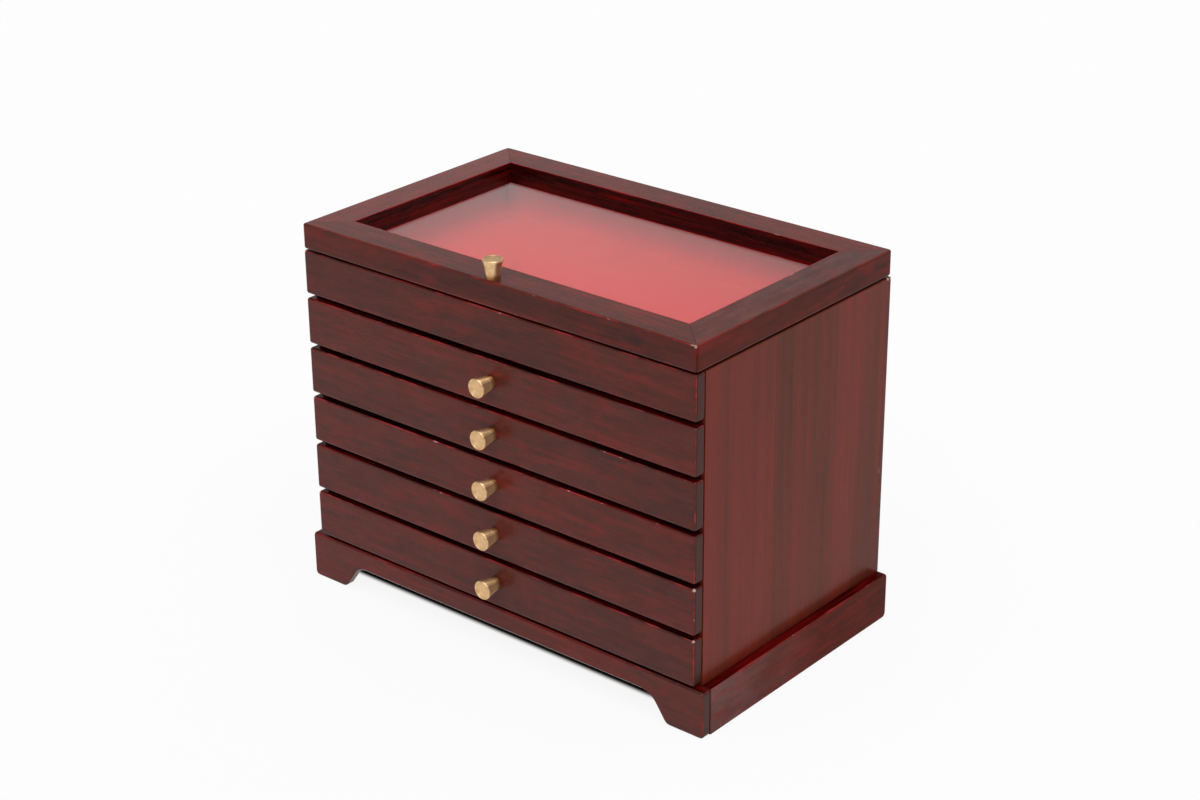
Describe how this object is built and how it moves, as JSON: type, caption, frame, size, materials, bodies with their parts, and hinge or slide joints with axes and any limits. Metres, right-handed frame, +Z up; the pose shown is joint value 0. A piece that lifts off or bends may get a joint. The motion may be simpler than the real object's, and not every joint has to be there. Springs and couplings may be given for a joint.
{
  "type": "jewellery chest of drawers",
  "caption": "Small table-top wooden chest: shallow sliding drawers with turned knobs under a felt-lined tray, closed by a hinged glazed lid, on an arched plinth.",
  "frame": {"origin": "on the floor, in the middle of the object's box, knobs and hinge barrels included", "axes": "+X to the right of someone facing the drawers, +Y from the front to the back, +Z up"},
  "size_m": [0.314, 0.2012, 0.253],
  "materials": {
    "mahogany": "dark red-brown mahogany stain under semi-gloss lacquer",
    "drawer_wood": "plain wood, thin brown stain, matt",
    "brass": "turned and lightly polished",
    "glass": "clear sheet glass",
    "felt": "short red felt"
  },
  "bodies": {
    "case": {"case_side_left": "mahogany", "case_side_right": "mahogany", "case_back_panel": "mahogany", "case_bottom_panel": "drawer_wood", "tray_floor_panel": "drawer_wood", "tray_front_board": "mahogany", "tray_back_board": "mahogany", "tray_lining": "felt", "plinth_front": "mahogany", "plinth_side_left": "mahogany", "plinth_side_right": "mahogany", "hinge_left_case_leaf": "brass", "hinge_right_case_leaf": "brass", "hinge_left_pin": "brass", "hinge_right_pin": "brass"},
    "lid": {"lid_rail_front": "mahogany", "lid_rail_back": "mahogany", "lid_rail_left": "mahogany", "lid_rail_right": "mahogany", "glazing_bead_front": "mahogany", "glazing_bead_back": "mahogany", "glazing_bead_left": "mahogany", "glazing_bead_right": "mahogany", "lid_glass": "glass", "lid_knob": "brass", "hinge_left_lid_leaf": "brass", "hinge_right_lid_leaf": "brass"},
    "drawer_1": {"drawer_1_front": "mahogany", "drawer_1_side_left": "drawer_wood", "drawer_1_side_right": "drawer_wood", "drawer_1_back": "drawer_wood", "drawer_1_bottom": "drawer_wood", "drawer_1_knob": "brass"},
    "drawer_2": {"drawer_2_front": "mahogany", "drawer_2_side_left": "drawer_wood", "drawer_2_side_right": "drawer_wood", "drawer_2_back": "drawer_wood", "drawer_2_bottom": "drawer_wood", "drawer_2_knob": "brass"},
    "drawer_3": {"drawer_3_front": "mahogany", "drawer_3_side_left": "drawer_wood", "drawer_3_side_right": "drawer_wood", "drawer_3_back": "drawer_wood", "drawer_3_bottom": "drawer_wood", "drawer_3_knob": "brass"},
    "drawer_4": {"drawer_4_front": "mahogany", "drawer_4_side_left": "drawer_wood", "drawer_4_side_right": "drawer_wood", "drawer_4_back": "drawer_wood", "drawer_4_bottom": "drawer_wood", "drawer_4_knob": "brass"},
    "drawer_5": {"drawer_5_front": "mahogany", "drawer_5_side_left": "drawer_wood", "drawer_5_side_right": "drawer_wood", "drawer_5_back": "drawer_wood", "drawer_5_bottom": "drawer_wood", "drawer_5_knob": "brass"}
  },
  "joints": [
    {"name": "lid_hinge", "type": "hinge", "parent": "case", "child": "lid", "pos_m": [0, 0.0986, 0.2246], "axis": [-1, 0, 0], "range_deg": [0, 100]},
    {"name": "drawer_1_slide", "type": "slide", "parent": "case", "child": "drawer_1", "axis": [0, -1, 0], "range_m": [0, 0.13]},
    {"name": "drawer_2_slide", "type": "slide", "parent": "case", "child": "drawer_2", "axis": [0, -1, 0], "range_m": [0, 0.13]},
    {"name": "drawer_3_slide", "type": "slide", "parent": "case", "child": "drawer_3", "axis": [0, -1, 0], "range_m": [0, 0.13]},
    {"name": "drawer_4_slide", "type": "slide", "parent": "case", "child": "drawer_4", "axis": [0, -1, 0], "range_m": [0, 0.13]},
    {"name": "drawer_5_slide", "type": "slide", "parent": "case", "child": "drawer_5", "axis": [0, -1, 0], "range_m": [0, 0.13]}
  ]
}
